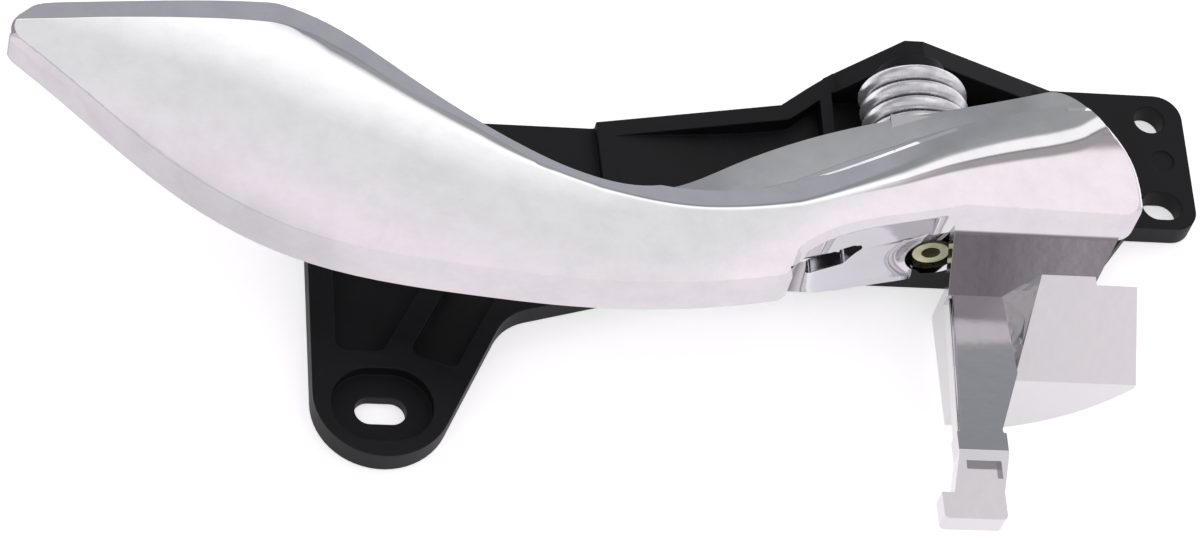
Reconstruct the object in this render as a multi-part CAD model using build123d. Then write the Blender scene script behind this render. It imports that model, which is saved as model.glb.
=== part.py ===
from build123d import *
import math
import os

os.makedirs("parts", exist_ok=True)

# Frame: X runs along the handle toward the hinge end, Y along the hinge pin, Z out of the door.
# The origin lies on the mounting face of the bracket, on the line of the pin. Millimetres.

# Hinge line and the stack of pieces along the pin
pin_height = 12.0
pin_radius = 2.5
pin_bore_radius = 1.5
pin_low_end = -8.9
rolled_end_radius = 2.9
rolled_end_length = 1.6
running_clearance = 0.05
side_clearance = 0.4
ear_inner = 24.6
ear_outer = 28.2
knuckle_low = -3.6
knuckle_high = 4.6
knuckle_radius = 5.0
upper_lug_thickness = 4.0
lower_lug_thickness = 5.2
lug_radius = 5.6
lug_recess_radius = 4.2
lug_recess_depth = 2.0

# Return spring
wire_diameter = 2.5
coil_mean_radius = 7.4
coil_pitch = 2.9
coil_turns = 3.5
spring_low_front = 11.3
spring_leg_length = 9.0
spring_leg_gap = 0.05
spring_room = 0.6

# Bracket: plate, leg and end plate
plate_thickness = 4.2
leg_slot_x = -86.4
leg_slot_y = -35.2
leg_end_x = -86.2
leg_end_y = -33.4
leg_end_radius = 10.8
leg_top_left_radius = 11.0
spine_top = 16.5
spine_top_start = -51.0
spine_rise_x = -20.0
spine_rise_y = 21.6
shoulder_x = -15.5
shoulder_y = 25.0
ear_start_x = -11.0
end_right = 47.8
end_bottom = 2.5
end_bottom_left = 36.4
end_top_radius = 4.4
end_bottom_radius = 3.6
rail_bottom = -8.0
rail_right = 28.2
rail_left = -17.5
rail_step_x = -19.0
rail_step_y = -5.2
leg_corner_x = -66.6
leg_corner_y = -18.4
leg_corner_radius = 8.0

# Bracket: raised rim, pocket floor, ribs and ear
rim_height = 6.0
rim_wall = 2.8
rim_right = 26.0
rim_right_top = 21.5
rim_start_lean = 1.5
pocket_floor = 2.9
pocket_ramp_length = 22.0
rib_thickness = 2.0
left_rib_x = -12.5
right_rib_x = 17.0
ear_height = 16.3
ear_flat = 3.0
ear_left_foot_x = -12.2
ear_left_foot_z = 4.5
knuckle_foot = 7.0
spring_boss_radius = 5.6
spring_pad_width = 5.0

# Bracket: holes, slots and sunk areas
screw_hole_radius = 2.6
screw_hole_x = 42.2
screw_hole_y = 23.5
screw_slot_x = 42.2
screw_slot_y = 6.9
screw_slot_length = 6.6
screw_slot_width = 5.3
leg_slot_length = 8.0
leg_slot_width = 4.7
leg_recess_length = 15.8
leg_recess_width = 12.6
leg_recess_depth = 2.2
leg_pocket_depth = 2.0
leg_pocket_radius = 1.6
leg_pocket_left = -93.2
leg_pocket_top = -4.0
leg_pocket_low = -26.0
leg_rib_top_x = -72.0
leg_rib_low_x = -84.0
leg_rib_width = 4.0
leg_pocket_right_top = -62.0
leg_pocket_right_low = (-74.9, -28.6)
ejector_radius = 2.0
ejector_depth = 0.25
ejector_x = 43.4
ejector_y = 15.6

# Lever: crowned grip and hub cover
grip_depth = 6.2
grip_wall = 2.2
grip_crown_radius = 110.0
grip_form_half_width = 48.0
grip_edge_radius = 1.4
tip_mid = (-152.0, 17.0, 27.7)
paddle_mid = (-104.0, 0.5, 28.4)
neck_mid = (-55.0, -17.0, 27.7)
hub_mid = (0.0, -5.0, 26.1)
end_mid = (38.0, -4.0, 24.9)

# Lever: outline seen from the front
tip_x = -146.4
tip_y = 14.2
tip_top = (-140.6, 19.2)
paddle_corner = (-103.8, 22.8)
paddle_corner_radius = 6.0
tip_radius = 3.7
grip_top = (
    (-93.6, 18.4),
    (-84.6, 11.2),
    (-63.5, -3.7),
    (-47.0, -8.0),
    (-33.4, -1.6),
    (-14.0, 6.4),
    (6.0, 11.3),
)
hub_top = (18.4, 15.0)
hub_shoulder = (27.6, 8.6)
hub_right = (31.4, -4.0)
hub_bottom = -9.5
hub_corner_radius = 3.7
hub_low = ((2.0, -9.5), (-10.5, -12.5), (-19.0, -15.2), (-24.6, -18.8))
grip_low = (
    (-26.4, -23.6),
    (-40.4, -26.1),
    (-57.0, -27.0),
    (-75.0, -25.7),
    (-100.0, -20.6),
    (-118.7, -10.5),
    (-134.0, 2.9),
)
notch_radius = 2.0
notch_corner_radius = 3.7
form_steps = 6
form_tolerance = 0.000001
inset_steps = 10

# Lever: crest from which the rim of the grip and the upper face of the hub slope back
# Each station gives X, Y, roll radius, rim angle, rim width and the drop from the rim to the upper face
grip_crest = (
    (-152.0, 15.2, 2.5, 20.0, 9.0, 0.4),
    (-136.0, 16.4, 2.5, 20.0, 9.0, 0.4),
    (-120.0, 17.3, 2.5, 20.0, 9.0, 0.4),
    (-107.0, 17.9, 2.5, 20.0, 9.0, 0.4),
    (-97.0, 14.0, 8.0, 20.0, 9.0, 0.4),
    (-88.4, 7.8, 8.0, 20.0, 9.0, 0.4),
    (-78.0, 0.7, 8.0, 20.0, 8.0, 0.4),
    (-67.6, -5.5, 6.0, 20.0, 6.0, 0.6),
)
hub_crest = (
    (-55.6, -10.2, 4.0, 20.0, 4.5, 1.0),
    (-44.0, -12.2, 3.0, 20.0, 2.6, 1.6),
    (-34.0, -12.0, 3.0, 20.0, 2.4, 1.6),
    (-23.0, -10.0, 5.0, 19.0, 2.4, 1.1),
    (-10.0, -5.6, 10.0, 17.0, 2.4, 0.6),
    (4.0, -0.6, 20.0, 15.0, 2.4, 0.3),
    (18.0, 2.2, 32.0, 14.0, 2.4, 0.25),
    (36.0, 3.4, 32.0, 14.0, 2.4, 0.25),
)
crest_lead = 2.0
crest_strip = 0.7
rim_drop_run = 0.8
web_tilt = 13.0
web_wall_y = 0.6

# Lever: curved wall that sweeps from the hub's lower edge to the lower lug, with a window at its left end
scoop_radius = 18.0
scoop_wall = 3.0
scoop_height = 13.5
scoop_turn = 15.2
scoop_left = -23.6
scoop_left_back = 9.4
scoop_low = -24.0
scoop_inset = 0.4
window_points = ((-20.8, 12.6), (-22.0, 18.2), (-20.4, 20.2), (-14.6, 20.6), (-12.8, 18.8), (-14.8, 13.6))
window_radius = 1.0
arch_x = -5.9
arch_z = 1.3
arch_radius = 7.5

# Lever: gusset, counterweight and actuating arm
gusset_left = 1.4
gusset_root_y = -17.6
gusset_root_z = 13.8
gusset_thickness = 3.0
gusset_right = 28.8
gusset_right_low = 23.8
gusset_front = 22.6
gusset_bite = 0.8
weight_left = 2.0
weight_right_top = 31.6
weight_right_low = 28.8
weight_edge = 1.0
weight_bulge_in = 6.6
weight_bulge_z = 8.0
weight_flat_in = 17.0
weight_back = 2.2
weight_front = 16.5
weight_root_y = -14.6
weight_top = -16.4
weight_facet_z = 13.2
weight_facet_top = (9.0, 16.2)
weight_facet_low = (8.2, 9.4)
weight_bottom = -34.2
weight_step_x = 24.8
cast_edge_radius = 0.8
arm_tilt = 17.7
arm_thickness = 3.6
arm_root = 2.0
arm_left_top = 1.9
arm_left_low = -3.3
arm_right_top = 10.2
arm_right_mid = (9.2, -17.6)
arm_right_low = 4.4
arm_length = 35.9
arm_straight_share = 0.85
foot_length = 11.2
foot_lean = -2.4
foot_bar_height = 4.4
foot_bar_overhang = 1.0
foot_window_left = -2.4
foot_window_right = 3.0
foot_window_top = -53.1
foot_window_low = -56.1
foot_window_depth = 1.3
heel_left = -14.0
heel_gap = 0.3
heel_thickness = 5.0
lug_foot = 7.5
lug_front_upper = 23.5

# Values that follow from the sizes above
lower_lug_high = knuckle_low - side_clearance
lower_lug_low = lower_lug_high - lower_lug_thickness
upper_lug_low = knuckle_high + side_clearance
upper_lug_high = upper_lug_low + upper_lug_thickness
bore_radius = pin_radius + running_clearance
leg_left = leg_end_x - leg_end_radius
spring_high_back = spring_low_front + coil_pitch * coil_turns
spring_pad_top = pin_height - coil_mean_radius - wire_diameter / 2 - spring_leg_gap


def along_pin(low, high, radius):
    """Round bar on the hinge line between two places along Y."""
    return Plane((0, low, pin_height), z_dir=(0, 1, 0)) * extrude(Circle(radius), high - low)


def upright(points, low, high):
    """Prism standing along Y from a profile drawn in X and Z."""
    profile = make_face(Polyline(*[(x, low, z) for x, z in points], close=True))
    return extrude(profile, high - low, dir=(0, 1, 0))


def block(left, right, low, high, back, front):
    """Plain rectangular block between six planes."""
    size = Box(right - left, high - low, front - back)
    return Pos((left + right) / 2, (low + high) / 2, (back + front) / 2) * size


def nearest(shape, x, y):
    """Vertex of a flat outline nearest to a place."""
    return shape.vertices().sort_by_distance((x, y, 0))[0]


# Bracket: outline seen from the front, with a rounded leg
leg_run = leg_corner_x - leg_end_x
leg_rise = leg_corner_y - leg_end_y
leg_turn = math.acos(leg_end_radius / math.hypot(leg_run, leg_rise))
leg_touch = math.atan2(leg_rise, leg_run) - leg_turn
bracket_edge = Polyline(
    (leg_end_x, leg_end_y),
    (leg_left, leg_end_y),
    (leg_left, spine_top),
    (spine_top_start, spine_top),
    (spine_rise_x, spine_rise_y),
    (shoulder_x, shoulder_y),
    (ear_start_x, ear_outer),
    (end_right, ear_outer),
    (end_right, end_bottom),
    (end_bottom_left, end_bottom),
    (rail_right, rail_bottom),
    (rail_left, rail_bottom),
    (rail_step_x, rail_step_y),
    (leg_corner_x, leg_corner_y),
    (
        leg_end_x + leg_end_radius * math.cos(leg_touch),
        leg_end_y + leg_end_radius * math.sin(leg_touch),
    ),
    close=True,
)
outline = make_face(bracket_edge) + Pos(leg_end_x, leg_end_y) * Circle(leg_end_radius)
outline = fillet(nearest(outline, leg_left, spine_top), leg_top_left_radius)
outline = fillet(nearest(outline, end_right, ear_outer), end_top_radius)
outline = fillet(nearest(outline, end_right, end_bottom), end_bottom_radius)
outline = fillet(nearest(outline, leg_corner_x, leg_corner_y), leg_corner_radius)

# Bracket: flat plate with the raised and sunk hub housing on it
bracket = extrude(outline, plate_thickness)
housing_band = Polyline(
    (spine_top_start, ear_outer),
    (rim_right_top, ear_outer),
    (rim_right, ear_inner),
    (rim_right, rail_bottom),
    (spine_top_start + rim_start_lean, rail_bottom),
    close=True,
)
housing = outline & make_face(housing_band)
bracket += extrude(housing, rim_height)
pocket = Pos(0, 0, pocket_floor) * extrude(offset(housing, -rim_wall), rim_height)
ramp_start = spine_top_start + rim_wall
ramp = upright(
    [
        (ramp_start - rim_wall, pocket_floor),
        (ramp_start - rim_wall, rim_height),
        (ramp_start, rim_height),
        (ramp_start + pocket_ramp_length, pocket_floor),
    ],
    rail_bottom,
    ear_outer,
)
bracket -= pocket - ramp
for rib_x in (left_rib_x, right_rib_x):
    bracket += block(
        rib_x - rib_thickness / 2, rib_x + rib_thickness / 2, rail_bottom, shoulder_y, 0, rim_height
    )

# Bracket: top ear, spring boss and the knuckle between the lever's lugs
ear = upright(
    [
        (ear_left_foot_x, 0),
        (ear_left_foot_x, ear_left_foot_z),
        (-ear_flat / 2, ear_height),
        (ear_flat / 2, ear_height),
        (rim_right, plate_thickness),
        (rim_right, 0),
    ],
    ear_inner,
    ear_outer,
)
bracket += ear
bracket += along_pin(upper_lug_high + side_clearance, ear_inner, spring_boss_radius)
bracket += along_pin(knuckle_low, knuckle_high, knuckle_radius)
bracket += upright(
    [
        (-knuckle_foot, 0),
        (-knuckle_radius, pin_height),
        (knuckle_radius, pin_height),
        (knuckle_foot, 0),
    ],
    knuckle_low,
    knuckle_high,
)
bracket += block(
    spring_leg_length - spring_pad_width,
    spring_leg_length,
    spring_high_back - spring_pad_width / 2,
    spring_high_back + spring_pad_width / 2,
    0,
    spring_pad_top,
)
bracket -= along_pin(rail_bottom, ear_outer + rim_wall, pin_radius)

# Bracket: screw holes, sunk slot and pockets of the leg
bracket -= Pos(screw_hole_x, screw_hole_y) * extrude(Circle(screw_hole_radius), plate_thickness)
end_slot = SlotOverall(screw_slot_length, screw_slot_width)
bracket -= Pos(screw_slot_x, screw_slot_y) * extrude(end_slot, plate_thickness)
leg_recess = extrude(SlotOverall(leg_recess_length, leg_recess_width), leg_recess_depth)
bracket -= Pos(leg_slot_x, leg_slot_y, plate_thickness - leg_recess_depth) * leg_recess
leg_slot = extrude(SlotOverall(leg_slot_length, leg_slot_width), plate_thickness)
bracket -= Pos(leg_slot_x, leg_slot_y) * leg_slot
left_pocket = make_face(
    Polyline(
        (leg_pocket_left, leg_pocket_top),
        (leg_rib_top_x - leg_rib_width / 2, leg_pocket_top),
        (leg_rib_low_x - leg_rib_width / 2, leg_pocket_low),
        (leg_pocket_left, leg_pocket_low),
        close=True,
    )
)
right_pocket = make_face(
    Polyline(
        (leg_rib_top_x + leg_rib_width / 2, leg_pocket_top),
        (leg_pocket_right_top, leg_pocket_top),
        leg_pocket_right_low,
        (leg_rib_low_x + leg_rib_width / 2, leg_pocket_low),
        close=True,
    )
)
for pocket_face in (left_pocket, right_pocket):
    pocket_face = fillet(pocket_face.vertices(), leg_pocket_radius)
    bracket -= Pos(0, 0, plate_thickness - leg_pocket_depth) * extrude(pocket_face, leg_pocket_depth)
ejector_mark = extrude(Circle(ejector_radius), ejector_depth)
bracket -= Pos(ejector_x, ejector_y, plate_thickness - ejector_depth) * ejector_mark

# Pin: tube with one rolled end
pin = along_pin(pin_low_end, ear_outer, pin_radius)
pin += along_pin(pin_low_end, pin_low_end + rolled_end_length, rolled_end_radius)
pin -= along_pin(pin_low_end, ear_outer, pin_bore_radius)

# Lever: crowned form of the grip and hub cover, lofted along the middle line
middle_line = Spline(tip_mid, paddle_mid, neck_mid, hub_mid, end_mid)


def crowned_section(share, sink, thickness):
    """Slab section across the lever, crowned in front and behind, sunk below the front face."""
    across = Plane(middle_line @ share, x_dir=(0, 1, 0), z_dir=(1, 0, 0))
    half = grip_form_half_width
    sag = grip_crown_radius - math.sqrt(grip_crown_radius**2 - half**2)
    front = ThreePointArc((-half, -sag - sink), (0, -sink), (half, -sag - sink))
    low = -sink - thickness
    back = ThreePointArc((half, -sag + low), (0, low), (-half, -sag + low))
    sides = [Line(front @ 1, back @ 0), Line(back @ 1, front @ 0)]
    return across * make_face([front, sides[0], back, sides[1]])


def crowned_slab(sink, thickness):
    """Slab that follows the lever's middle line, its front sunk below the front face."""
    shares = [step / form_steps for step in range(form_steps + 1)]
    return loft([crowned_section(share, sink, thickness) for share in shares])


# Lever: outline seen from the front
top_line = Line(tip_top, paddle_corner)
top_sweep = Spline(paddle_corner, *grip_top, hub_top)
hub_end = Spline(hub_top, hub_shoulder, hub_right, tangents=(top_sweep % 1, (0, -1)))
hub_side = Polyline(hub_right, (hub_right[0], hub_bottom), hub_low[0])
hub_sweep = Spline(*hub_low)
notch = Line(hub_low[-1], grip_low[0])
low_sweep = Spline(*grip_low, (tip_x, tip_y))
tip_end = Line((tip_x, tip_y), tip_top)
lever_face = make_face([top_line, top_sweep, hub_end, hub_side, hub_sweep, notch, low_sweep, tip_end])
lever_face = fillet(nearest(lever_face, *paddle_corner), paddle_corner_radius)
lever_face = fillet(nearest(lever_face, tip_x, tip_y), tip_radius)
lever_face = fillet(nearest(lever_face, *tip_top), tip_radius)
lever_face = fillet(nearest(lever_face, hub_right[0], hub_bottom), hub_corner_radius)
lever_face = fillet(nearest(lever_face, *hub_low[-1]), notch_radius)
lever_face = fillet(nearest(lever_face, *grip_low[0]), notch_corner_radius)
form_height = 2 * tip_mid[2]
shell = extrude(lever_face, form_height) & crowned_slab(0, grip_depth)
shell = fillet(shell.faces().sort_by(Axis.Z)[-1].edges(), grip_edge_radius)


# Lever: rim of the grip and sloped upper face of the hub, both behind one crest line
def crest_section(x, y, radius, rim_angle, rim_width, drop):
    """Section of the space in front of the rim and the upper face, at one place along the crest."""
    low = 0.0
    high = 1.0
    while high - low > form_tolerance:
        share = (low + high) / 2
        if (middle_line @ share).X < x:
            low = share
        else:
            high = share
    middle = middle_line @ low
    front_angle = math.asin((y - middle.Y) / grip_crown_radius)
    front_z = middle.Z - grip_crown_radius * (1 - math.cos(front_angle))
    start = front_angle + math.radians(crest_lead)
    end = math.radians(rim_angle)
    reach = grip_form_half_width
    roll_run = radius * (math.sin(end) - math.sin(start))
    roll_drop = radius * (math.cos(start) - math.cos(end))
    roll_start = Vector(crest_strip, -crest_strip * math.tan(start))
    roll_end = roll_start + Vector(roll_run, -roll_drop)
    rim_end = roll_end + Vector(rim_width, -rim_width * math.tan(end))
    web_start = rim_end + Vector(rim_drop_run, -drop)
    web_end = (reach, web_start.Y - (reach - web_start.X) * math.tan(math.radians(web_tilt)))
    lean = Line((-reach, reach * math.tan(start)), roll_start)
    roll = TangentArc(roll_start, roll_end, tangent=(math.cos(start), -math.sin(start)))
    steps = Polyline(roll_end, rim_end, web_start, web_end)
    around = Polyline(web_end, (reach, reach), (-reach, reach), lean @ 0)
    across = Plane((x, y, front_z), x_dir=(0, 1, 0), z_dir=(1, 0, 0))
    return across * make_face([lean, roll, steps, around])


above_grip = loft([crest_section(*station) for station in grip_crest + hub_crest[:1]])
above_hub = loft([crest_section(*station) for station in hub_crest])
shell -= above_grip
shell -= above_hub

# Lever: hollow back, open behind
inset_edges = []
for edge in offset(lever_face, -grip_wall).edges():
    if edge.geom_type in (GeomType.LINE, GeomType.CIRCLE):
        inset_edges.append(edge)
    else:
        points = [edge @ (step / inset_steps) for step in range(inset_steps + 1)]
        inset_edges.append(Spline(*points, tangents=(edge % 0, edge % 1)))
cavity = extrude(make_face(inset_edges), form_height) & crowned_slab(grip_wall, grip_depth)
cavity -= Pos(0, -web_wall_y, -grip_wall) * above_hub
shell -= cavity

# Lever: lugs on the pin, the lower one with a heel that rests over the bracket's rail
lug_front = hub_mid[2] - grip_wall / 2
heel_back = rim_height + heel_gap
upper_lug = along_pin(upper_lug_low, upper_lug_high, lug_radius)
upper_lug += upright(
    [
        (-lug_radius, pin_height),
        (-lug_foot, lug_front_upper),
        (lug_foot, lug_front_upper),
        (lug_radius, pin_height),
    ],
    upper_lug_low,
    upper_lug_high,
)
lower_lug = along_pin(lower_lug_low, lower_lug_high, lug_radius)
lower_lug += upright(
    [
        (heel_left, heel_back),
        (heel_left, heel_back + heel_thickness),
        (heel_left - lug_foot, lug_front),
        (lug_foot, lug_front),
        (lug_radius, pin_height),
        (0, heel_back),
    ],
    lower_lug_low,
    lower_lug_high,
)

# Lever: curved wall between the hub's lower edge and the lower lug
scoop_angle = math.radians(scoop_turn)
scoop_axis_y = lower_lug_low + scoop_left * math.tan(scoop_angle) - scoop_radius
scoop_axis = Plane(
    (scoop_left, scoop_axis_y, scoop_height),
    z_dir=(math.cos(scoop_angle), math.sin(scoop_angle), 0),
)
scoop_length = (gusset_left + gusset_bite - scoop_left) / math.cos(scoop_angle)
scoop_room = scoop_axis * extrude(Circle(scoop_radius), scoop_length)
scoop_face = upright(
    [
        (heel_left, heel_back),
        (scoop_left, scoop_left_back),
        (scoop_left, lug_front),
        (gusset_left + gusset_bite, lug_front),
        (gusset_left + gusset_bite, pin_height),
        (0, heel_back),
    ],
    scoop_low,
    lower_lug_high,
)
scoop = scoop_axis * extrude(Circle(scoop_radius + scoop_wall), scoop_length) & scoop_face
scoop &= Pos(0, scoop_inset, 0) * extrude(lever_face, form_height)
window_face = make_face(Polyline(*[(x, scoop_low, z) for x, z in window_points], close=True))
window_face = fillet(window_face.vertices(), window_radius)
window = extrude(window_face, lower_lug_high - scoop_low, dir=(0, 1, 0))
arch = Plane((arch_x, scoop_low, arch_z), z_dir=(0, 1, 0)) * extrude(Circle(arch_radius), -scoop_low)

# Lever: gusset from the hub cover down to the counterweight and the arm
gusset = extrude(
    make_face(
        Polyline(
            (gusset_left, hub_bottom + gusset_bite, gusset_front),
            (gusset_left, gusset_root_y, gusset_root_z),
            (gusset_left, gusset_root_y, gusset_root_z - gusset_thickness),
            (gusset_left, hub_bottom + grip_wall - gusset_bite, gusset_front - gusset_thickness),
            close=True,
        )
    ),
    gusset_right - gusset_left,
    dir=(1, 0, 0),
)
gusset_taper = Polyline(
    (gusset_right, hub_bottom + gusset_bite),
    (gusset_right_low, gusset_root_y),
    (gusset_right, gusset_root_y),
    close=True,
)
gusset -= extrude(make_face(gusset_taper), gusset_front)


# Lever: counterweight block, curved at the back, with a slanted facet down to the arm
def weight_section(y, right, facet):
    """Section of the counterweight at one place along Y: flat front, slanted left, bulging back."""
    bulge = ThreePointArc(
        (right, y, weight_front - weight_edge),
        (right - weight_bulge_in, y, weight_bulge_z),
        (right - weight_flat_in, y, weight_back),
    )
    around = Polyline(
        bulge @ 1,
        (weight_left, y, weight_back),
        (weight_left, y, weight_facet_z),
        (facet[0], y, weight_facet_z),
        (facet[1], y, weight_front),
        (right, y, weight_front),
        bulge @ 0,
    )
    return make_face([bulge, around])


weight_high = weight_section(weight_root_y, weight_right_top, weight_facet_top)
weight_low = weight_section(weight_bottom, weight_right_low, weight_facet_low)
weight = loft([weight_high, weight_low])
weight -= block(weight_step_x, weight_right_top, weight_top, 0, 0, weight_front)

# Lever: actuating arm, leaning forward as it drops, and its foot
arm_plane = Plane(
    (0, gusset_root_y, gusset_root_z),
    x_dir=(1, 0, 0),
    z_dir=(0, math.sin(math.radians(arm_tilt)), math.cos(math.radians(arm_tilt))),
)
arm_face = make_face(
    Polyline(
        (arm_left_top, arm_root),
        (arm_right_top, arm_root),
        arm_right_mid,
        (arm_right_low, -arm_length * arm_straight_share),
        (arm_right_low, -arm_length),
        (arm_left_low, -arm_length),
        close=True,
    )
)
arm = arm_plane * Pos(0, 0, -arm_thickness) * extrude(arm_face, arm_thickness)
arm_front = arm.faces().sort_by(Axis(arm_plane.origin, arm_plane.z_dir))[-1]
arm_left = arm_front.edges().filter_by(Axis.X, reverse=True).sort_by(SortBy.LENGTH)[-1]
arm = fillet(arm_left, cast_edge_radius)
foot_start = arm_plane.from_local_coords(Vector(0, -arm_length, 0))
foot_bottom = foot_start.Y - foot_length
foot_face = make_face(
    Polyline(
        (arm_left_low, foot_start.Y + arm_thickness),
        (arm_right_low, foot_start.Y + arm_thickness),
        (arm_right_low, foot_start.Y),
        (arm_right_low + foot_lean, foot_bottom),
        (arm_left_low + foot_lean, foot_bottom),
        (arm_left_low, foot_start.Y),
        close=True,
    )
)
foot_bar = make_face(
    Polyline(
        (arm_left_low + foot_lean - foot_bar_overhang, foot_bottom),
        (arm_left_low + foot_lean - foot_bar_overhang, foot_bottom + foot_bar_height),
        (arm_right_low + foot_lean + foot_bar_overhang, foot_bottom + foot_bar_height),
        (arm_right_low + foot_lean + foot_bar_overhang, foot_bottom),
        close=True,
    )
)
foot = Pos(0, 0, foot_start.Z - arm_thickness) * extrude(foot_face + foot_bar, arm_thickness)
foot = fillet(foot.faces().sort_by(Axis.Y)[0].edges().filter_by(Axis.Z), cast_edge_radius)
foot -= block(
    foot_window_left,
    foot_window_right,
    foot_window_low,
    foot_window_top,
    foot_start.Z - foot_window_depth,
    foot_start.Z,
)
lever = shell + upper_lug + (lower_lug - arch) + scoop - scoop_room - window
lever += gusset
lever += weight + arm + foot
recess_low = lower_lug_low - scoop_wall
lever -= along_pin(recess_low, upper_lug_high, bore_radius)
lever -= along_pin(recess_low, lower_lug_low + lug_recess_depth, lug_recess_radius)
lever -= along_pin(upper_lug_high, ear_inner, coil_mean_radius + wire_diameter / 2 + spring_room)
leg_seat = pin_height + coil_mean_radius + wire_diameter / 2 + spring_leg_gap
lever -= block(
    0,
    spring_leg_length + wire_diameter,
    upper_lug_high,
    spring_low_front + wire_diameter,
    pin_height,
    leg_seat,
)

# Spring: left-handed coil, one leg pressing on the bracket and one on the lever
coil_low = Plane((0, spring_low_front, pin_height), x_dir=(0, 0, 1), z_dir=(0, 1, 0))
coil = coil_low * Helix(coil_pitch, coil_pitch * coil_turns, coil_mean_radius, lefthand=True)
low_leg = Line(coil @ 0 - (coil % 0) * spring_leg_length, coil @ 0)
high_leg = Line(coil @ 1, coil @ 1 + (coil % 1) * spring_leg_length)
wire_path = Wire([low_leg, coil, high_leg])
wire_start = Plane(low_leg @ 0, z_dir=low_leg % 0)
spring = sweep(wire_start * Circle(wire_diameter / 2), path=wire_path)

export_step(bracket, "parts/base_bracket.step")
export_step(lever, "parts/handle_lever.step")
export_step(pin, "parts/pivot_pin.step")
export_step(spring, "parts/return_spring.step")
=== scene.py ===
import bpy
import numpy as np
from mathutils import Matrix, Vector


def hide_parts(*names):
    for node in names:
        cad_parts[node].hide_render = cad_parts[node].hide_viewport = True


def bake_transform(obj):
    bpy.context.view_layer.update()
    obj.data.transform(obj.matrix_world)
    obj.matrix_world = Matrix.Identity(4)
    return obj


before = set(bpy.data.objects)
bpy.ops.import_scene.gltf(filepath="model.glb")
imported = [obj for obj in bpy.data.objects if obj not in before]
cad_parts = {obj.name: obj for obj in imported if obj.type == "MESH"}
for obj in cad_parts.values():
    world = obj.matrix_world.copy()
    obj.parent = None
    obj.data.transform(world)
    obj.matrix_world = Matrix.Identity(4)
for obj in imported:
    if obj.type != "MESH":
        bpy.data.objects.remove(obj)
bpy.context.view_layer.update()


# Bracket: the black plate that is screwed to the door, with a leg, a ribbed spine and the hinge's two ears.
# It is one moulding in glass-filled nylon, so it is matt, with a fine spark-eroded grain and paler corners.
# Screws go through its three holes. Lengths in this file are millimetres, and MM makes them metres.
MM = 0.001
nylon_black = "#101012"
nylon_pale = "#1B1B1E"
nylon_corner_grey = "#2C2C2F"
nylon_cloud = 14.0
nylon_cloud_detail = 4.0
nylon_cloud_low = 0.35
nylon_cloud_high = 0.75
nylon_grain = 0.45
nylon_grain_detail = 2.0
nylon_grain_depth = 0.02
nylon_grain_strength = 0.5
nylon_edge = 0.35
nylon_edge_samples = 6
corner_grey_none = 0.97
corner_grey_full = 0.80
nylon_smooth = 0.5
nylon_smooth_place = 0.3
nylon_rough = 0.65
nylon_rough_place = 0.8
nylon_ior = 1.53
nylon_specular = 0.2


def linear(code):
    """Linear colour with alpha from an sRGB hex code, by the sRGB transfer curve."""
    shares = np.array([int(code[i:i + 2], 16) for i in (1, 3, 5)]) / 255
    bent = np.where(shares <= 0.04045, shares / 12.92, ((shares + 0.055) / 1.055) ** 2.4)
    return (*bent.tolist(), 1.0)


def add(tree, kind, inputs=None, stops=(), curve="LINEAR", **settings):
    """One node with its settings, its inputs (plain values or other nodes' outputs) and its colour stops."""
    node = tree.nodes.new(kind)
    for name, value in settings.items():
        setattr(node, name, value)
    for name, value in (inputs or {}).items():
        if isinstance(value, bpy.types.NodeSocket):
            tree.links.new(value, node.inputs[name])
        else:
            node.inputs[name].default_value = value
    if stops:
        node.color_ramp.interpolation = curve
        band = node.color_ramp.elements
        while len(band) < len(stops):
            band.new(1.0)
        for element, (position, colour) in zip(band, stops):
            element.position = position
            element.color = colour
    return node


def new_material(name):
    """Empty material, its node tree and its output node, ready for a shader."""
    material = bpy.data.materials.new(name)
    material.use_nodes = True
    material.node_tree.nodes.clear()
    return material, material.node_tree, material.node_tree.nodes.new("ShaderNodeOutputMaterial")


def coat(piece, material):
    """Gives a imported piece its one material."""
    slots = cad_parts[piece].data.materials
    slots.clear()
    slots.append(material)


# Glass-filled nylon, moulded in a spark-eroded tool: near black, matt, with cloudy paler patches where
# the glass lies at the surface, and a paler grey mixed in along the corners.
nylon, tree, output = new_material("glass_filled_nylon")
place = add(tree, "ShaderNodeTexCoord").outputs["Object"]
cloud = add(
    tree, "ShaderNodeTexNoise",
    {"Vector": place, "Scale": 1 / (nylon_cloud * MM), "Detail": nylon_cloud_detail},
).outputs["Fac"]
grain = add(
    tree, "ShaderNodeTexNoise",
    {"Vector": place, "Scale": 1 / (nylon_grain * MM), "Detail": nylon_grain_detail},
).outputs["Fac"]
body = add(
    tree, "ShaderNodeValToRGB", {"Fac": cloud},
    stops=[(nylon_cloud_low, linear(nylon_black)), (nylon_cloud_high, linear(nylon_pale))],
).outputs["Color"]
rounded = add(
    tree, "ShaderNodeBevel", {"Radius": nylon_edge * MM}, samples=nylon_edge_samples,
).outputs["Normal"]
flat = add(tree, "ShaderNodeNewGeometry").outputs["Normal"]
corner = add(
    tree, "ShaderNodeVectorMath", {0: rounded, 1: flat}, operation="DOT_PRODUCT",
).outputs["Value"]
# The corners are paler: a lighter grey is mixed in where the rounded normal leaves the flat one, patchy with
# the cloud.
edge = add(
    tree, "ShaderNodeMapRange", {"Value": corner, "From Min": corner_grey_none, "From Max": corner_grey_full},
).outputs["Result"]
paler_corners = add(tree, "ShaderNodeMath", {0: edge, 1: cloud}, operation="MULTIPLY").outputs["Value"]
colour = add(
    tree, "ShaderNodeMix", {"Factor": paler_corners, "A": body, "B": linear(nylon_corner_grey)}, data_type="RGBA",
).outputs["Result"]
matt = add(
    tree, "ShaderNodeMapRange",
    {"Value": cloud, "From Min": nylon_smooth_place, "From Max": nylon_rough_place,
     "To Min": nylon_smooth, "To Max": nylon_rough},
).outputs["Result"]
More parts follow.
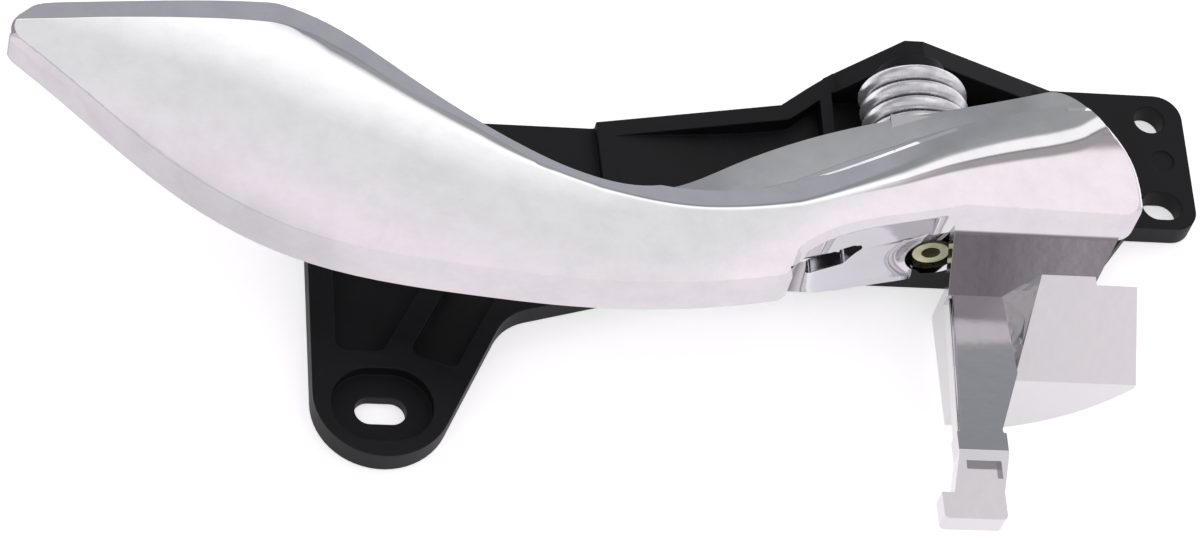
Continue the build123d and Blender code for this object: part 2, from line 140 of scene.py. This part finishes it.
bump = add(
    tree, "ShaderNodeBump",
    {"Height": grain, "Distance": nylon_grain_depth * MM, "Strength": nylon_grain_strength,
     "Normal": rounded},
).outputs["Normal"]
shader = add(
    tree, "ShaderNodeBsdfPrincipled",
    {"Base Color": colour, "Roughness": matt, "Normal": bump, "IOR": nylon_ior,
     "Specular IOR Level": nylon_specular},
)
tree.links.new(shader.outputs["BSDF"], output.inputs["Surface"])
coat("base_bracket", nylon)


# Pin: a hollow steel pin, pressed into the bracket's ears and rolled over at its lower end.
# It is zinc plated and yellow passivated, a thin gold-green film with a soft sheen.
pin_gold = "#D8D2B4"
pin_green = "#B5B694"
pin_patch = 3.0
pin_patch_detail = 3.0
pin_gold_place = 0.35
pin_green_place = 0.7
pin_smooth = 0.22
pin_smooth_place = 0.3
pin_rough = 0.38
pin_rough_place = 0.7
pin_metal = 0.8

# Yellow zinc plate: pale gold that drifts to green, half polished.
yellow_zinc, tree, output = new_material("yellow_zinc_steel")
place = add(tree, "ShaderNodeTexCoord").outputs["Object"]
drift = add(
    tree, "ShaderNodeTexNoise", {"Vector": place, "Scale": 1 / (pin_patch * MM), "Detail": pin_patch_detail},
).outputs["Fac"]
film = add(
    tree, "ShaderNodeValToRGB", {"Fac": drift},
    stops=[(pin_gold_place, linear(pin_gold)), (pin_green_place, linear(pin_green))],
).outputs["Color"]
sheen = add(
    tree, "ShaderNodeMapRange",
    {"Value": drift, "From Min": pin_smooth_place, "From Max": pin_rough_place,
     "To Min": pin_smooth, "To Max": pin_rough},
).outputs["Result"]
shader = add(
    tree, "ShaderNodeBsdfPrincipled", {"Base Color": film, "Metallic": pin_metal, "Roughness": sheen},
)
tree.links.new(shader.outputs["BSDF"], output.inputs["Surface"])
coat("pivot_pin", yellow_zinc)


# Lever: the grip with its hub, arm, foot and counterweight, one zinc die casting that turns on the pin.
# It is polished on the grip and the hub, and chrome plated all over. The faces below the hub keep the
# slightly wavy skin of the casting under the plate.
chrome_tint = "#E8E7E9"
chrome_haze = "#E1E0E2"
chrome_raw = "#D3D2D4"
# Painted reflection: greys for the gusset, the scoop and the upper lug, standing in for the darker room they
# mirror.
gusset_reflection_dark = "#8A868A"
gusset_reflection_pale = "#C1BDC1"
scoop_reflection_grey = "#D2D0D7"
lug_reflection_grey = "#B4B3B6"
haze_cloud = 5.0
haze_detail = 6.0
haze_mix = 0.65
haze_full = 0.35
haze_none = 0.6
polish_wave = 9.0
polish_depth = 0.05
polish_strength = 0.1
polish_rough = 0.05
cast_wave = 2.2
cast_depth = 0.12
cast_strength = 0.12
cast_rough = 0.12
wave_detail = 2.0
wall_tilt = -0.32
arm_tilt = np.radians(17.7)
crown_radius = 110.0
hub_left = -8.0
hub_lead = 14.0
half_step = 0.5
rim_fade = 0.2

# The lever's middle line, as points in X, Y and Z.
middle = np.array([
    (-152.0, 17.0, 27.7), (-104.0, 0.5, 28.4), (-55.0, -17.0, 27.7), (0.0, -5.0, 26.1), (38.0, 2.0, 24.9),
])

# The crest along the upper edge: X, Y, the width of its roll, the rim's far edge from it and the rim's slope.
crest = np.array([
    (-150.0, 14.8, 0.4, 9.0, 0.36), (-141.5, 15.3, 0.4, 9.0, 0.36), (-130.7, 16.3, 0.4, 9.0, 0.36),
    (-115.6, 17.5, 0.4, 9.0, 0.36), (-105.0, 18.0, 0.4, 9.0, 0.36), (-102.2, 17.4, 0.8, 9.4, 0.36),
    (-100.0, 15.9, 2.4, 9.7, 0.36), (-95.9, 11.4, 9.0, 10.3, 0.36), (-88.4, 5.2, 10.0, 10.8, 0.36),
    (-81.0, 0.4, 9.0, 10.7, 0.36), (-73.6, -3.7, 7.0, 10.1, 0.36), (-67.6, -6.0, 3.2, 8.5, 0.36),
    (-61.6, -8.2, 2.6, 8.0, 0.36), (-55.6, -10.5, 2.0, 7.0, 0.36), (-46.5, -12.6, 1.6, 4.6, 0.36),
    (-37.0, -13.2, 1.5, 4.2, 0.36), (-24.3, -11.4, 1.8, 6.4, 0.34), (-16.2, -8.9, 2.8, 7.8, 0.32),
    (-7.2, -6.7, 5.5, 9.4, 0.30), (0.3, -4.1, 7.2, 9.8, 0.27), (8.6, -1.8, 8.5, 10.6, 0.26),
    (16.8, 0.2, 9.0, 10.9, 0.25), (23.0, 2.0, 9.0, 10.9, 0.25), (28.0, 7.4, 9.0, 10.9, 0.25),
])

# Zones of the casting, each from none to full between two places along its own X, Y or Z.
place_bands = {
    "on_hub": ("X", -24.0, -18.0),
    "by_arm": ("X", 1.3, 1.5),
    "along_gusset": ("X", 8.0, 22.0),
    "over_web": ("Y", 6.0, 6.5),
    "below_hub": ("Y", -10.2, -10.8),
    "over_arm": ("Y", -19.0, -18.5),
    "under_block": ("Y", -45.2, -45.4),
    "over_foot": ("Y", -51.4, -51.2),
    "behind_front": ("Z", 25.1, 24.9),
}

# Slopes of its faces, each from none to full between two shares of the face's own direction.
slope_bands = {
    "downward": ("Y", -0.2, -0.4),
    "not_behind": ("Z", -0.4, -0.2),
    "frontal": ("Z", 0.88, 0.93),
    "level": ("Z", 0.985, 0.99),
    "hanging": ("Y", -0.45, -0.6),
    "leaning": ("Z", 0.4, 0.55),
}

# Areas of the plate, each from two zones, slopes or areas above it, or from the rim worked out below.
areas = (
    ("hub_back", "on_hub", "MULTIPLY", "behind_front"),
    ("raw", "below_hub", "MULTIPLY", "hub_back"),
    ("lower_wall", "downward", "MULTIPLY", "not_behind"),
    ("front", "frontal", "MULTIPLY", "on_rim"),
    ("skin", "front", "MAXIMUM", "lower_wall"),
    ("polished", "skin", "SUBTRACT", "raw"),
    ("flat_cast", "raw", "MULTIPLY", "by_arm"),
    ("ankle", "over_foot", "MULTIPLY", "under_block"),
    ("ankle_front", "ankle", "MULTIPLY", "frontal"),
    ("slope", "hanging", "MULTIPLY", "leaning"),
    ("gusset", "slope", "MULTIPLY", "flat_cast"),
    ("left_of_arm", "raw", "SUBTRACT", "by_arm"),
    ("scoop", "over_arm", "MULTIPLY", "left_of_arm"),
    ("level_top", "over_web", "MULTIPLY", "level"),
    ("lug", "level_top", "MULTIPLY", "on_hub"),
)


def smooth_line(x, y, places):
    """Natural cubic through (x, y): second slopes M from h0 M0 + 2 (h0 + h1) M1 + h1 M2 = 6 (d1 - d0)."""
    h = np.diff(x)
    d = np.diff(y) / h
    inner = np.arange(1, len(x) - 1)
    system = np.eye(len(x))
    system[inner, inner - 1] = h[:-1]
    system[inner, inner] = 2 * (h[:-1] + h[1:])
    system[inner, inner + 1] = h[1:]
    bends = np.zeros(len(x))
    bends[inner] = 6 * np.diff(d)
    m = np.linalg.solve(system, bends)
    k = np.clip(np.searchsorted(x, places) - 1, 0, len(h) - 1)
    t = places - x[k]
    start = d[k] - h[k] * (2 * m[k] + m[k + 1]) / 6
    return y[k] + start * t + m[k] * t**2 / 2 + (m[k + 1] - m[k]) * t**3 / (6 * h[k])


# Bright chrome on zinc: a neutral mirror under a thin cloudy haze, with a long shallow wave left by the
# buffing wheel and a shorter one on the cast faces. The gusset, the scoop and the upper lug are painted
# greyer, a painted reflection of the darker room they face.
chrome, tree, output = new_material("chrome_plated_zinc")
coordinates = add(tree, "ShaderNodeTexCoord")
place = coordinates.outputs["Object"]
along = add(tree, "ShaderNodeSeparateXYZ", {"Vector": place})
facing = add(tree, "ShaderNodeSeparateXYZ", {"Vector": coordinates.outputs["Normal"]})
buffed = add(
    tree, "ShaderNodeTexNoise", {"Vector": place, "Scale": 1 / (polish_wave * MM), "Detail": wave_detail},
).outputs["Fac"]
cast = add(
    tree, "ShaderNodeTexNoise", {"Vector": place, "Scale": 1 / (cast_wave * MM), "Detail": wave_detail},
).outputs["Fac"]
haze = add(
    tree, "ShaderNodeTexNoise",
    {"Vector": place, "Scale": 1 / (haze_cloud * MM), "Detail": haze_detail, "Roughness": haze_mix},
).outputs["Fac"]

# Sizes and slopes of the polished front at each place along X: the middle line's Y and slopes, the crest's
# Y and slope, which fades out before the hub, its roll and its rim. Two bands hold them as shares.
crest_x, crest_y, roll_width, rim_end, rim_slope = crest.T
middle_x, middle_y, middle_z = middle.T
before = crest_x - half_step
after = crest_x + half_step
straight = np.clip((hub_left - crest_x) / hub_lead, 0, 1)
slopes = np.stack([
    smooth_line(middle_x, middle_y, after) - smooth_line(middle_x, middle_y, before),
    np.gradient(crest_y, crest_x) * straight,
    smooth_line(middle_x, middle_z, after) - smooth_line(middle_x, middle_z, before),
], 1)
sizes = np.stack([smooth_line(middle_x, middle_y, crest_x), crest_y, roll_width], 1)
size_low = -20.0
size_span = 40.0
slope_low = -2.0
slope_span = 4.0
size_shares = np.column_stack([(sizes - size_low) / size_span, rim_slope])
slope_shares = np.column_stack([(slopes - slope_low) / slope_span, rim_end / size_span])
stations = ((crest_x - crest_x[0]) / (crest_x[-1] - crest_x[0])).tolist()
across = add(
    tree, "ShaderNodeMapRange",
    {"Value": along.outputs["X"], "From Min": crest_x[0] * MM, "From Max": crest_x[-1] * MM},
).outputs["Result"]
size_band = add(
    tree, "ShaderNodeValToRGB", {"Fac": across},
    stops=list(zip(stations, size_shares.tolist())), curve="B_SPLINE",
)
slope_band = add(
    tree, "ShaderNodeValToRGB", {"Fac": across},
    stops=list(zip(stations, slope_shares.tolist())), curve="B_SPLINE",
)
real_sizes = add(
    tree, "ShaderNodeVectorMath",
    {0: size_band.outputs["Color"], 1: (size_span,) * 3, 2: (size_low,) * 3}, operation="MULTIPLY_ADD",
).outputs["Vector"]
real_slopes = add(
    tree, "ShaderNodeVectorMath",
    {0: slope_band.outputs["Color"], 1: (slope_span,) * 3, 2: (slope_low,) * 3}, operation="MULTIPLY_ADD",
).outputs["Vector"]
size_of = add(tree, "ShaderNodeSeparateXYZ", {"Vector": real_sizes})
slope_of = add(tree, "ShaderNodeSeparateXYZ", {"Vector": real_slopes})

# Crown and rim: the front is a cylinder about the middle line, and rolls over at the crest into the rim.
height = add(
    tree, "ShaderNodeMath", {0: along.outputs["Y"], 1: 1 / MM}, operation="MULTIPLY",
).outputs["Value"]
from_middle = add(
    tree, "ShaderNodeMath", {0: height, 1: size_of.outputs["X"]}, operation="SUBTRACT",
).outputs["Value"]
crown = add(tree, "ShaderNodeMath", {0: from_middle, 1: crown_radius}, operation="DIVIDE").outputs["Value"]
from_crest = add(
    tree, "ShaderNodeMath", {0: height, 1: size_of.outputs["Y"]}, operation="SUBTRACT",
).outputs["Value"]
rolled = add(
    tree, "ShaderNodeMapRange",
    {"Value": from_crest, "From Max": size_of.outputs["Z"]}, interpolation_type="SMOOTHSTEP",
).outputs["Result"]
tilt = add(
    tree, "ShaderNodeMix", {"Factor": rolled, "A": crown, "B": size_band.outputs["Alpha"]},
).outputs["Result"]
rim_edge = add(
    tree, "ShaderNodeMath", {0: slope_band.outputs["Alpha"], 1: size_span}, operation="MULTIPLY",
).outputs["Value"]
past_rim = add(tree, "ShaderNodeMath", {0: from_crest, 1: rim_edge}, operation="SUBTRACT").outputs["Value"]
on_rim = add(tree, "ShaderNodeMapRange", {"Value": past_rim, "From Min": rim_fade, "From Max": 0.0})

# Masks of the zones, slopes and areas named above.
mask = {"on_rim": on_rim.outputs["Result"]}
for bands, source, unit in ((place_bands, along, MM), (slope_bands, facing, 1.0)):
    for name, (axis, none, full) in bands.items():
        limits = {"Value": source.outputs[axis], "From Min": none * unit, "From Max": full * unit}
        mask[name] = add(tree, "ShaderNodeMapRange", limits).outputs["Result"]
for name, first, rule, second in areas:
    mask[name] = add(
        tree, "ShaderNodeMath", {0: mask[first], 1: mask[second]}, operation=rule, use_clamp=True,
    ).outputs["Value"]

# Direction of the polished front: its slope up the blade, and its slope along X from crown, middle and crest.
# The blade's lower wall has one slope of its own, and the top of the foot shares the arm's.
skin_tilt = add(
    tree, "ShaderNodeMix", {"Factor": mask["lower_wall"], "A": tilt, "B": wall_tilt},
).outputs["Result"]
beyond = add(tree, "ShaderNodeMath", {0: tilt, 1: crown}, operation="SUBTRACT").outputs["Value"]
crown_lean = add(
    tree, "ShaderNodeMath",
    {0: crown, 1: slope_of.outputs["X"], 2: slope_of.outputs["Z"]}, operation="MULTIPLY_ADD",
).outputs["Value"]
whole_lean = add(
    tree, "ShaderNodeMath",
    {0: beyond, 1: slope_of.outputs["Y"], 2: crown_lean}, operation="MULTIPLY_ADD",
).outputs["Value"]
sideways = add(tree, "ShaderNodeMath", {0: whole_lean, 1: -1.0}, operation="MULTIPLY").outputs["Value"]
front_way = add(tree, "ShaderNodeCombineXYZ", {"X": sideways, "Y": skin_tilt, "Z": 1.0}).outputs["Vector"]
front_form = add(
    tree, "ShaderNodeVectorTransform", {"Vector": front_way},
    vector_type="NORMAL", convert_from="OBJECT", convert_to="WORLD",
).outputs["Vector"]
arm_form = add(
    tree, "ShaderNodeVectorTransform", {"Vector": (0, np.sin(arm_tilt), np.cos(arm_tilt))},
    vector_type="NORMAL", convert_from="OBJECT", convert_to="WORLD",
).outputs["Vector"]
face = add(tree, "ShaderNodeNewGeometry")
normal = face.outputs["Normal"]
for area, form in (
    ("flat_cast", face.outputs["True Normal"]), ("ankle_front", arm_form), ("polished", front_form),
):
    normal = add(
        tree, "ShaderNodeMix", {"Factor": mask[area], "A": normal, "B": form}, data_type="VECTOR",
    ).outputs["Result"]

# Waves of the buffed and the cast skin, then the plate's gloss and its tints, of which the gusset's, the
# scoop's and the lug's are painted reflection.
long_bump = add(
    tree, "ShaderNodeBump",
    {"Height": buffed, "Distance": polish_depth * MM, "Strength": polish_strength, "Normal": normal},
).outputs["Normal"]
uneven = add(
    tree, "ShaderNodeMath", {0: mask["raw"], 1: cast_strength}, operation="MULTIPLY",
).outputs["Value"]
cast_bump = add(
    tree, "ShaderNodeBump",
    {"Height": cast, "Distance": cast_depth * MM, "Strength": uneven, "Normal": long_bump},
).outputs["Normal"]
gloss = add(
    tree, "ShaderNodeMapRange", {"Value": mask["raw"], "To Min": polish_rough, "To Max": cast_rough},
).outputs["Result"]
# Painted reflection: the gusset goes from dark to paler grey along X, and the scoop and the upper lug turn
# greyer, in place of the darker room they mirror.
gusset_painted_reflection = add(
    tree, "ShaderNodeValToRGB", {"Fac": mask["along_gusset"]},
    stops=[(0.0, linear(gusset_reflection_dark)), (1.0, linear(gusset_reflection_pale))],
).outputs["Color"]
plate = add(
    tree, "ShaderNodeValToRGB", {"Fac": haze},
    stops=[(haze_full, linear(chrome_haze)), (haze_none, linear(chrome_tint))],
).outputs["Color"]
for area, tint in (
    ("raw", linear(chrome_raw)), ("gusset", gusset_painted_reflection),
    ("scoop", linear(scoop_reflection_grey)), ("lug", linear(lug_reflection_grey)),
):
    plate = add(
        tree, "ShaderNodeMix", {"Factor": mask[area], "A": plate, "B": tint}, data_type="RGBA",
    ).outputs["Result"]
shader = add(
    tree, "ShaderNodeBsdfPrincipled",
    {"Base Color": plate, "Metallic": 1.0, "Roughness": gloss, "Normal": cast_bump},
)
tree.links.new(shader.outputs["BSDF"], output.inputs["Surface"])
coat("handle_lever", chrome)


# Spring: hard-drawn steel wire wound left-handed round the pin, with one leg on the bracket and one on
# the lever. It is zinc plated after winding, so it is dull silver with a cloudy, slightly bluish film.
wire = 2.5
coil_radius = 7.4
coil_pitch = 2.9
coil_turns = 3.5
coil_low = 11.3
leg_length = 9.0
pin_height = 12.0
pin_way = (0.0, 1.0, 0.0)
coil_steps = 48
leg_steps = 10
wire_steps = 20
spring_pale = "#F6F7F8"
spring_dark = "#CFD1D3"
spring_cloud = 2.5
spring_cloud_detail = 5.0
spring_dark_place = 0.32
spring_pale_place = 0.62
spring_pit_depth = 0.06
spring_pit_strength = 0.4
spring_rough = 0.36
spring_rough_place = 0.3
spring_smooth = 0.24
spring_smooth_place = 0.7
spring_metal = 0.8


def coil_point(turn):
    """Centre of the wire: a left-handed circle about the pin line that climbs one pitch a turn."""
    angle = 2 * np.pi * turn
    across = -coil_radius * np.sin(angle)
    upward = coil_low + coil_pitch * turn
    forward = pin_height + coil_radius * np.cos(angle)
    return np.stack([across, upward, forward], 1)


def tube(path, radius, sides):
    """Round tube: path + radius (cos a side + sin a over), with side square to the path and the pin line."""
    tangent = np.gradient(path, axis=0)
    tangent /= np.linalg.norm(tangent, axis=1, keepdims=True)
    side = np.cross(tangent, np.broadcast_to(pin_way, path.shape))
    side /= np.linalg.norm(side, axis=1, keepdims=True)
    over = np.cross(side, tangent)
    angle = np.linspace(0, 2 * np.pi, sides, endpoint=False)
    ring = np.cos(angle)[None, :, None] * side[:, None] + np.sin(angle)[None, :, None] * over[:, None]
    return path[:, None] + radius * ring


def tube_mesh(name, rings):
    """Closed tube mesh from rings of points: quads between neighbouring rings, and a flat cap on each end."""
    count, sides = rings.shape[:2]
    index = np.arange(count * sides).reshape(count, sides)
    following = np.roll(index, -1, axis=1)
    quads = np.stack([index[:-1], index[1:], following[1:], following[:-1]], -1).reshape(-1, 4)
    faces = quads.tolist() + [index[0].tolist(), index[-1][::-1].tolist()]
    mesh = bpy.data.meshes.new(name)
    mesh.from_pydata((rings.reshape(-1, 3) * MM).tolist(), [], faces)
    mesh.shade_smooth()
    return mesh


coil = coil_point(np.linspace(0, coil_turns, int(coil_steps * coil_turns) + 1))
start_way = (coil[0] - coil[1]) / np.linalg.norm(coil[0] - coil[1])
end_way = (coil[-1] - coil[-2]) / np.linalg.norm(coil[-1] - coil[-2])
leg_places = np.linspace(0, leg_length, leg_steps + 1)[1:, None]
path = np.concatenate([(coil[0] + start_way * leg_places)[::-1], coil, coil[-1] + end_way * leg_places])
spring_mesh = tube_mesh("return_spring_wire", tube(path, wire / 2, wire_steps))
spring = bpy.data.objects.new("spring_wire", spring_mesh)
bpy.context.scene.collection.objects.link(spring)

# Zinc plate on drawn wire: satin silver, cloudy where the plating bath ran thin.
zinc, tree, output = new_material("zinc_plated_spring_steel")
place = add(tree, "ShaderNodeTexCoord").outputs["Object"]
bath = add(
    tree, "ShaderNodeTexNoise",
    {"Vector": place, "Scale": 1 / (spring_cloud * MM), "Detail": spring_cloud_detail},
).outputs["Fac"]
film = add(
    tree, "ShaderNodeValToRGB", {"Fac": bath},
    stops=[(spring_dark_place, linear(spring_dark)), (spring_pale_place, linear(spring_pale))],
).outputs["Color"]
satin = add(
    tree, "ShaderNodeMapRange",
    {"Value": bath, "From Min": spring_rough_place, "From Max": spring_smooth_place,
     "To Min": spring_rough, "To Max": spring_smooth},
).outputs["Result"]
pits = add(
    tree, "ShaderNodeBump",
    {"Height": bath, "Distance": spring_pit_depth * MM, "Strength": spring_pit_strength},
).outputs["Normal"]
shader = add(
    tree, "ShaderNodeBsdfPrincipled",
    {"Base Color": film, "Metallic": spring_metal, "Roughness": satin, "Normal": pits},
)
tree.links.new(shader.outputs["BSDF"], output.inputs["Surface"])
spring_mesh.materials.append(zinc)
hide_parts("return_spring")
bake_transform(spring)


# Floor: the white sweep that the handle lies on. It is a pale matt sheet that stays white round the
# handle and keeps its soft shadow.
floor_half = 3000.0
floor_drop = 0.3
floor_white = "#F4F3F5"
floor_glow = "#FFFFFF"
floor_lift = 0.58
floor_rough = 0.9
corner_ways = np.array([(-1, -1), (1, -1), (1, 1), (-1, 1)])
corners = np.column_stack([corner_ways * floor_half, np.full(len(corner_ways), -floor_drop)])
floor_mesh = bpy.data.meshes.new("floor")
floor_mesh.from_pydata((corners * MM).tolist(), [], [list(range(len(corners)))])
floor = bpy.data.objects.new("floor", floor_mesh)
bpy.context.scene.collection.objects.link(floor)

# White paper: matt, without any gloss, and a little brighter to the eye and in mirrors than it is lit.
paper, tree, output = new_material("white_paper_sweep")
light_path = add(tree, "ShaderNodeLightPath")
mirrored = add(
    tree, "ShaderNodeMath",
    {0: light_path.outputs["Is Glossy Ray"], 1: light_path.outputs["Is Transmission Ray"]}, operation="ADD",
).outputs["Value"]
seen = add(
    tree, "ShaderNodeMath",
    {0: light_path.outputs["Is Camera Ray"], 1: mirrored}, operation="ADD", use_clamp=True,
).outputs["Value"]
lift = add(tree, "ShaderNodeMath", {0: seen, 1: floor_lift}, operation="MULTIPLY").outputs["Value"]
shader = add(
    tree, "ShaderNodeBsdfPrincipled",
    {"Base Color": linear(floor_white), "Roughness": floor_rough, "Emission Color": linear(floor_glow),
     "Emission Strength": lift, "Specular IOR Level": 0.0},
)
tree.links.new(shader.outputs["BSDF"], output.inputs["Surface"])
floor_mesh.materials.append(paper)


# Light: a wide tent that lights the table evenly and is what the chrome mirrors. Going up from behind it has
# a grey wall, a white softbox, a pale pinkish roof and a grey front. Over the hub a dark card hangs between
# softbox and roof, and toward the grip's tip, the right end and the left the tent is plain grey cloth.
wall_grey = "#9A9BA1"
wall_shadow = "#86888C"
hub_wall = "#949596"
softbox_white = "#FFFFFF"
strip_white = "#F0EEF0"
card_dark = "#6E6668"
card_grey = "#989294"
roof_grey = "#D6D6D6"
roof_pink = "#E4DAE2"
roof_pale = "#DCD5DB"
hub_roof = "#ECE4E9"
front_grey = "#BCB7BC"
front_dark = "#8D888C"
left_grey = "#8A868B"
tip_grey = "#BCBABB"
end_grey = "#CFCACD"
tent_strength = 1.33
half_turn = 180.0

# Panels by the angle up from behind, in degrees: 90 is overhead and 180 is in front.
grip_side = [
    (0.0, wall_grey), (22.5, wall_grey), (25.0, wall_shadow), (31.0, wall_shadow),
    (38.0, softbox_white), (43.0, softbox_white), (53.5, roof_grey), (60.0, roof_grey),
    (73.0, roof_pink), (80.0, roof_pale), (100.0, roof_pale), (118.0, front_grey), (180.0, front_grey),
]
hub_side = [
    (0.0, wall_grey), (22.5, wall_grey), (25.0, wall_shadow), (28.0, hub_wall), (33.5, hub_wall),
    (35.5, strip_white), (44.0, strip_white), (44.6, card_dark), (46.5, card_grey), (51.5, card_grey),
    (52.8, hub_roof), (80.0, hub_roof), (95.0, roof_pale), (115.0, front_dark), (180.0, front_dark),
]

# Borders between panels, each from none to full: X is a share of the direction, angle is in half turns.
tent_bands = {
    "hub": ("X", 0.27, 0.30),
    "right_end": ("X", 0.4, 0.52),
    "tip_side": ("X", 0.02, -0.05),
    "left_side": ("X", -0.15, -0.4),
    "high_up": ("angle", 0.33, 0.45),
    "not_over": ("angle", 0.43, 0.38),
}
world = bpy.data.worlds.new("light_tent")
bpy.context.scene.world = world
world.use_nodes = True
tree = world.node_tree
tree.nodes.clear()
way = add(tree, "ShaderNodeTexCoord").outputs["Generated"]
parts = add(tree, "ShaderNodeSeparateXYZ", {"Vector": way})
radians_up = add(
    tree, "ShaderNodeMath", {0: parts.outputs["Z"], 1: parts.outputs["Y"]}, operation="ARCTAN2",
).outputs["Value"]
angle = add(tree, "ShaderNodeMath", {0: radians_up, 1: np.pi}, operation="DIVIDE").outputs["Value"]
over_grip, over_hub = [
    add(
        tree, "ShaderNodeValToRGB", {"Fac": angle},
        stops=[(degrees / half_turn, linear(panel)) for degrees, panel in side],
    ).outputs["Color"]
    for side in (grip_side, hub_side)
]
measures = {"X": parts.outputs["X"], "angle": angle}
toward = {}
for name, (measure, none, full) in tent_bands.items():
    limits = {"Value": measures[measure], "From Min": none, "From Max": full}
    toward[name] = add(tree, "ShaderNodeMapRange", limits).outputs["Result"]
for name, first, second in (("tip", "tip_side", "high_up"), ("left", "left_side", "not_over")):
    toward[name] = add(
        tree, "ShaderNodeMath", {0: toward[first], 1: toward[second]}, operation="MULTIPLY",
    ).outputs["Value"]
tent = over_grip
for name, panel in (
    ("hub", over_hub), ("tip", linear(tip_grey)),
    ("right_end", linear(end_grey)), ("left", linear(left_grey)),
):
    tent = add(
        tree, "ShaderNodeMix", {"Factor": toward[name], "A": tent, "B": panel}, data_type="RGBA",
    ).outputs["Result"]
sky = add(tree, "ShaderNodeBackground", {"Color": tent, "Strength": tent_strength})
add(tree, "ShaderNodeOutputWorld", {"Surface": sky.outputs["Background"]})


# Camera: a long lens from above and in front, at the place from which the handle's holes and edges line
# up. The three directions are the picture's right, its up and the way back to the lens.
eye = (-183.3, -372.8, 587.3)
to_right = (0.9812, -0.0638, 0.1824)
to_top = (-0.0414, 0.8526, 0.5209)
to_lens = (-0.1888, -0.5186, 0.8339)
focal_length = 135.0
film_width = 36.0
clip_near = 10.0
clip_far = 20000.0
camera_data = bpy.data.cameras.new("camera")
camera_data.lens = focal_length
camera_data.sensor_width = film_width
camera_data.clip_start = clip_near * MM
camera_data.clip_end = clip_far * MM
camera = bpy.data.objects.new("camera", camera_data)
bpy.context.scene.collection.objects.link(camera)
turned = Matrix((to_right, to_top, to_lens)).transposed().to_4x4()
camera.matrix_world = Matrix.Translation(Vector(eye) * MM) @ turned
bpy.context.scene.camera = camera
bpy.context.scene.view_settings.view_transform = "Standard"
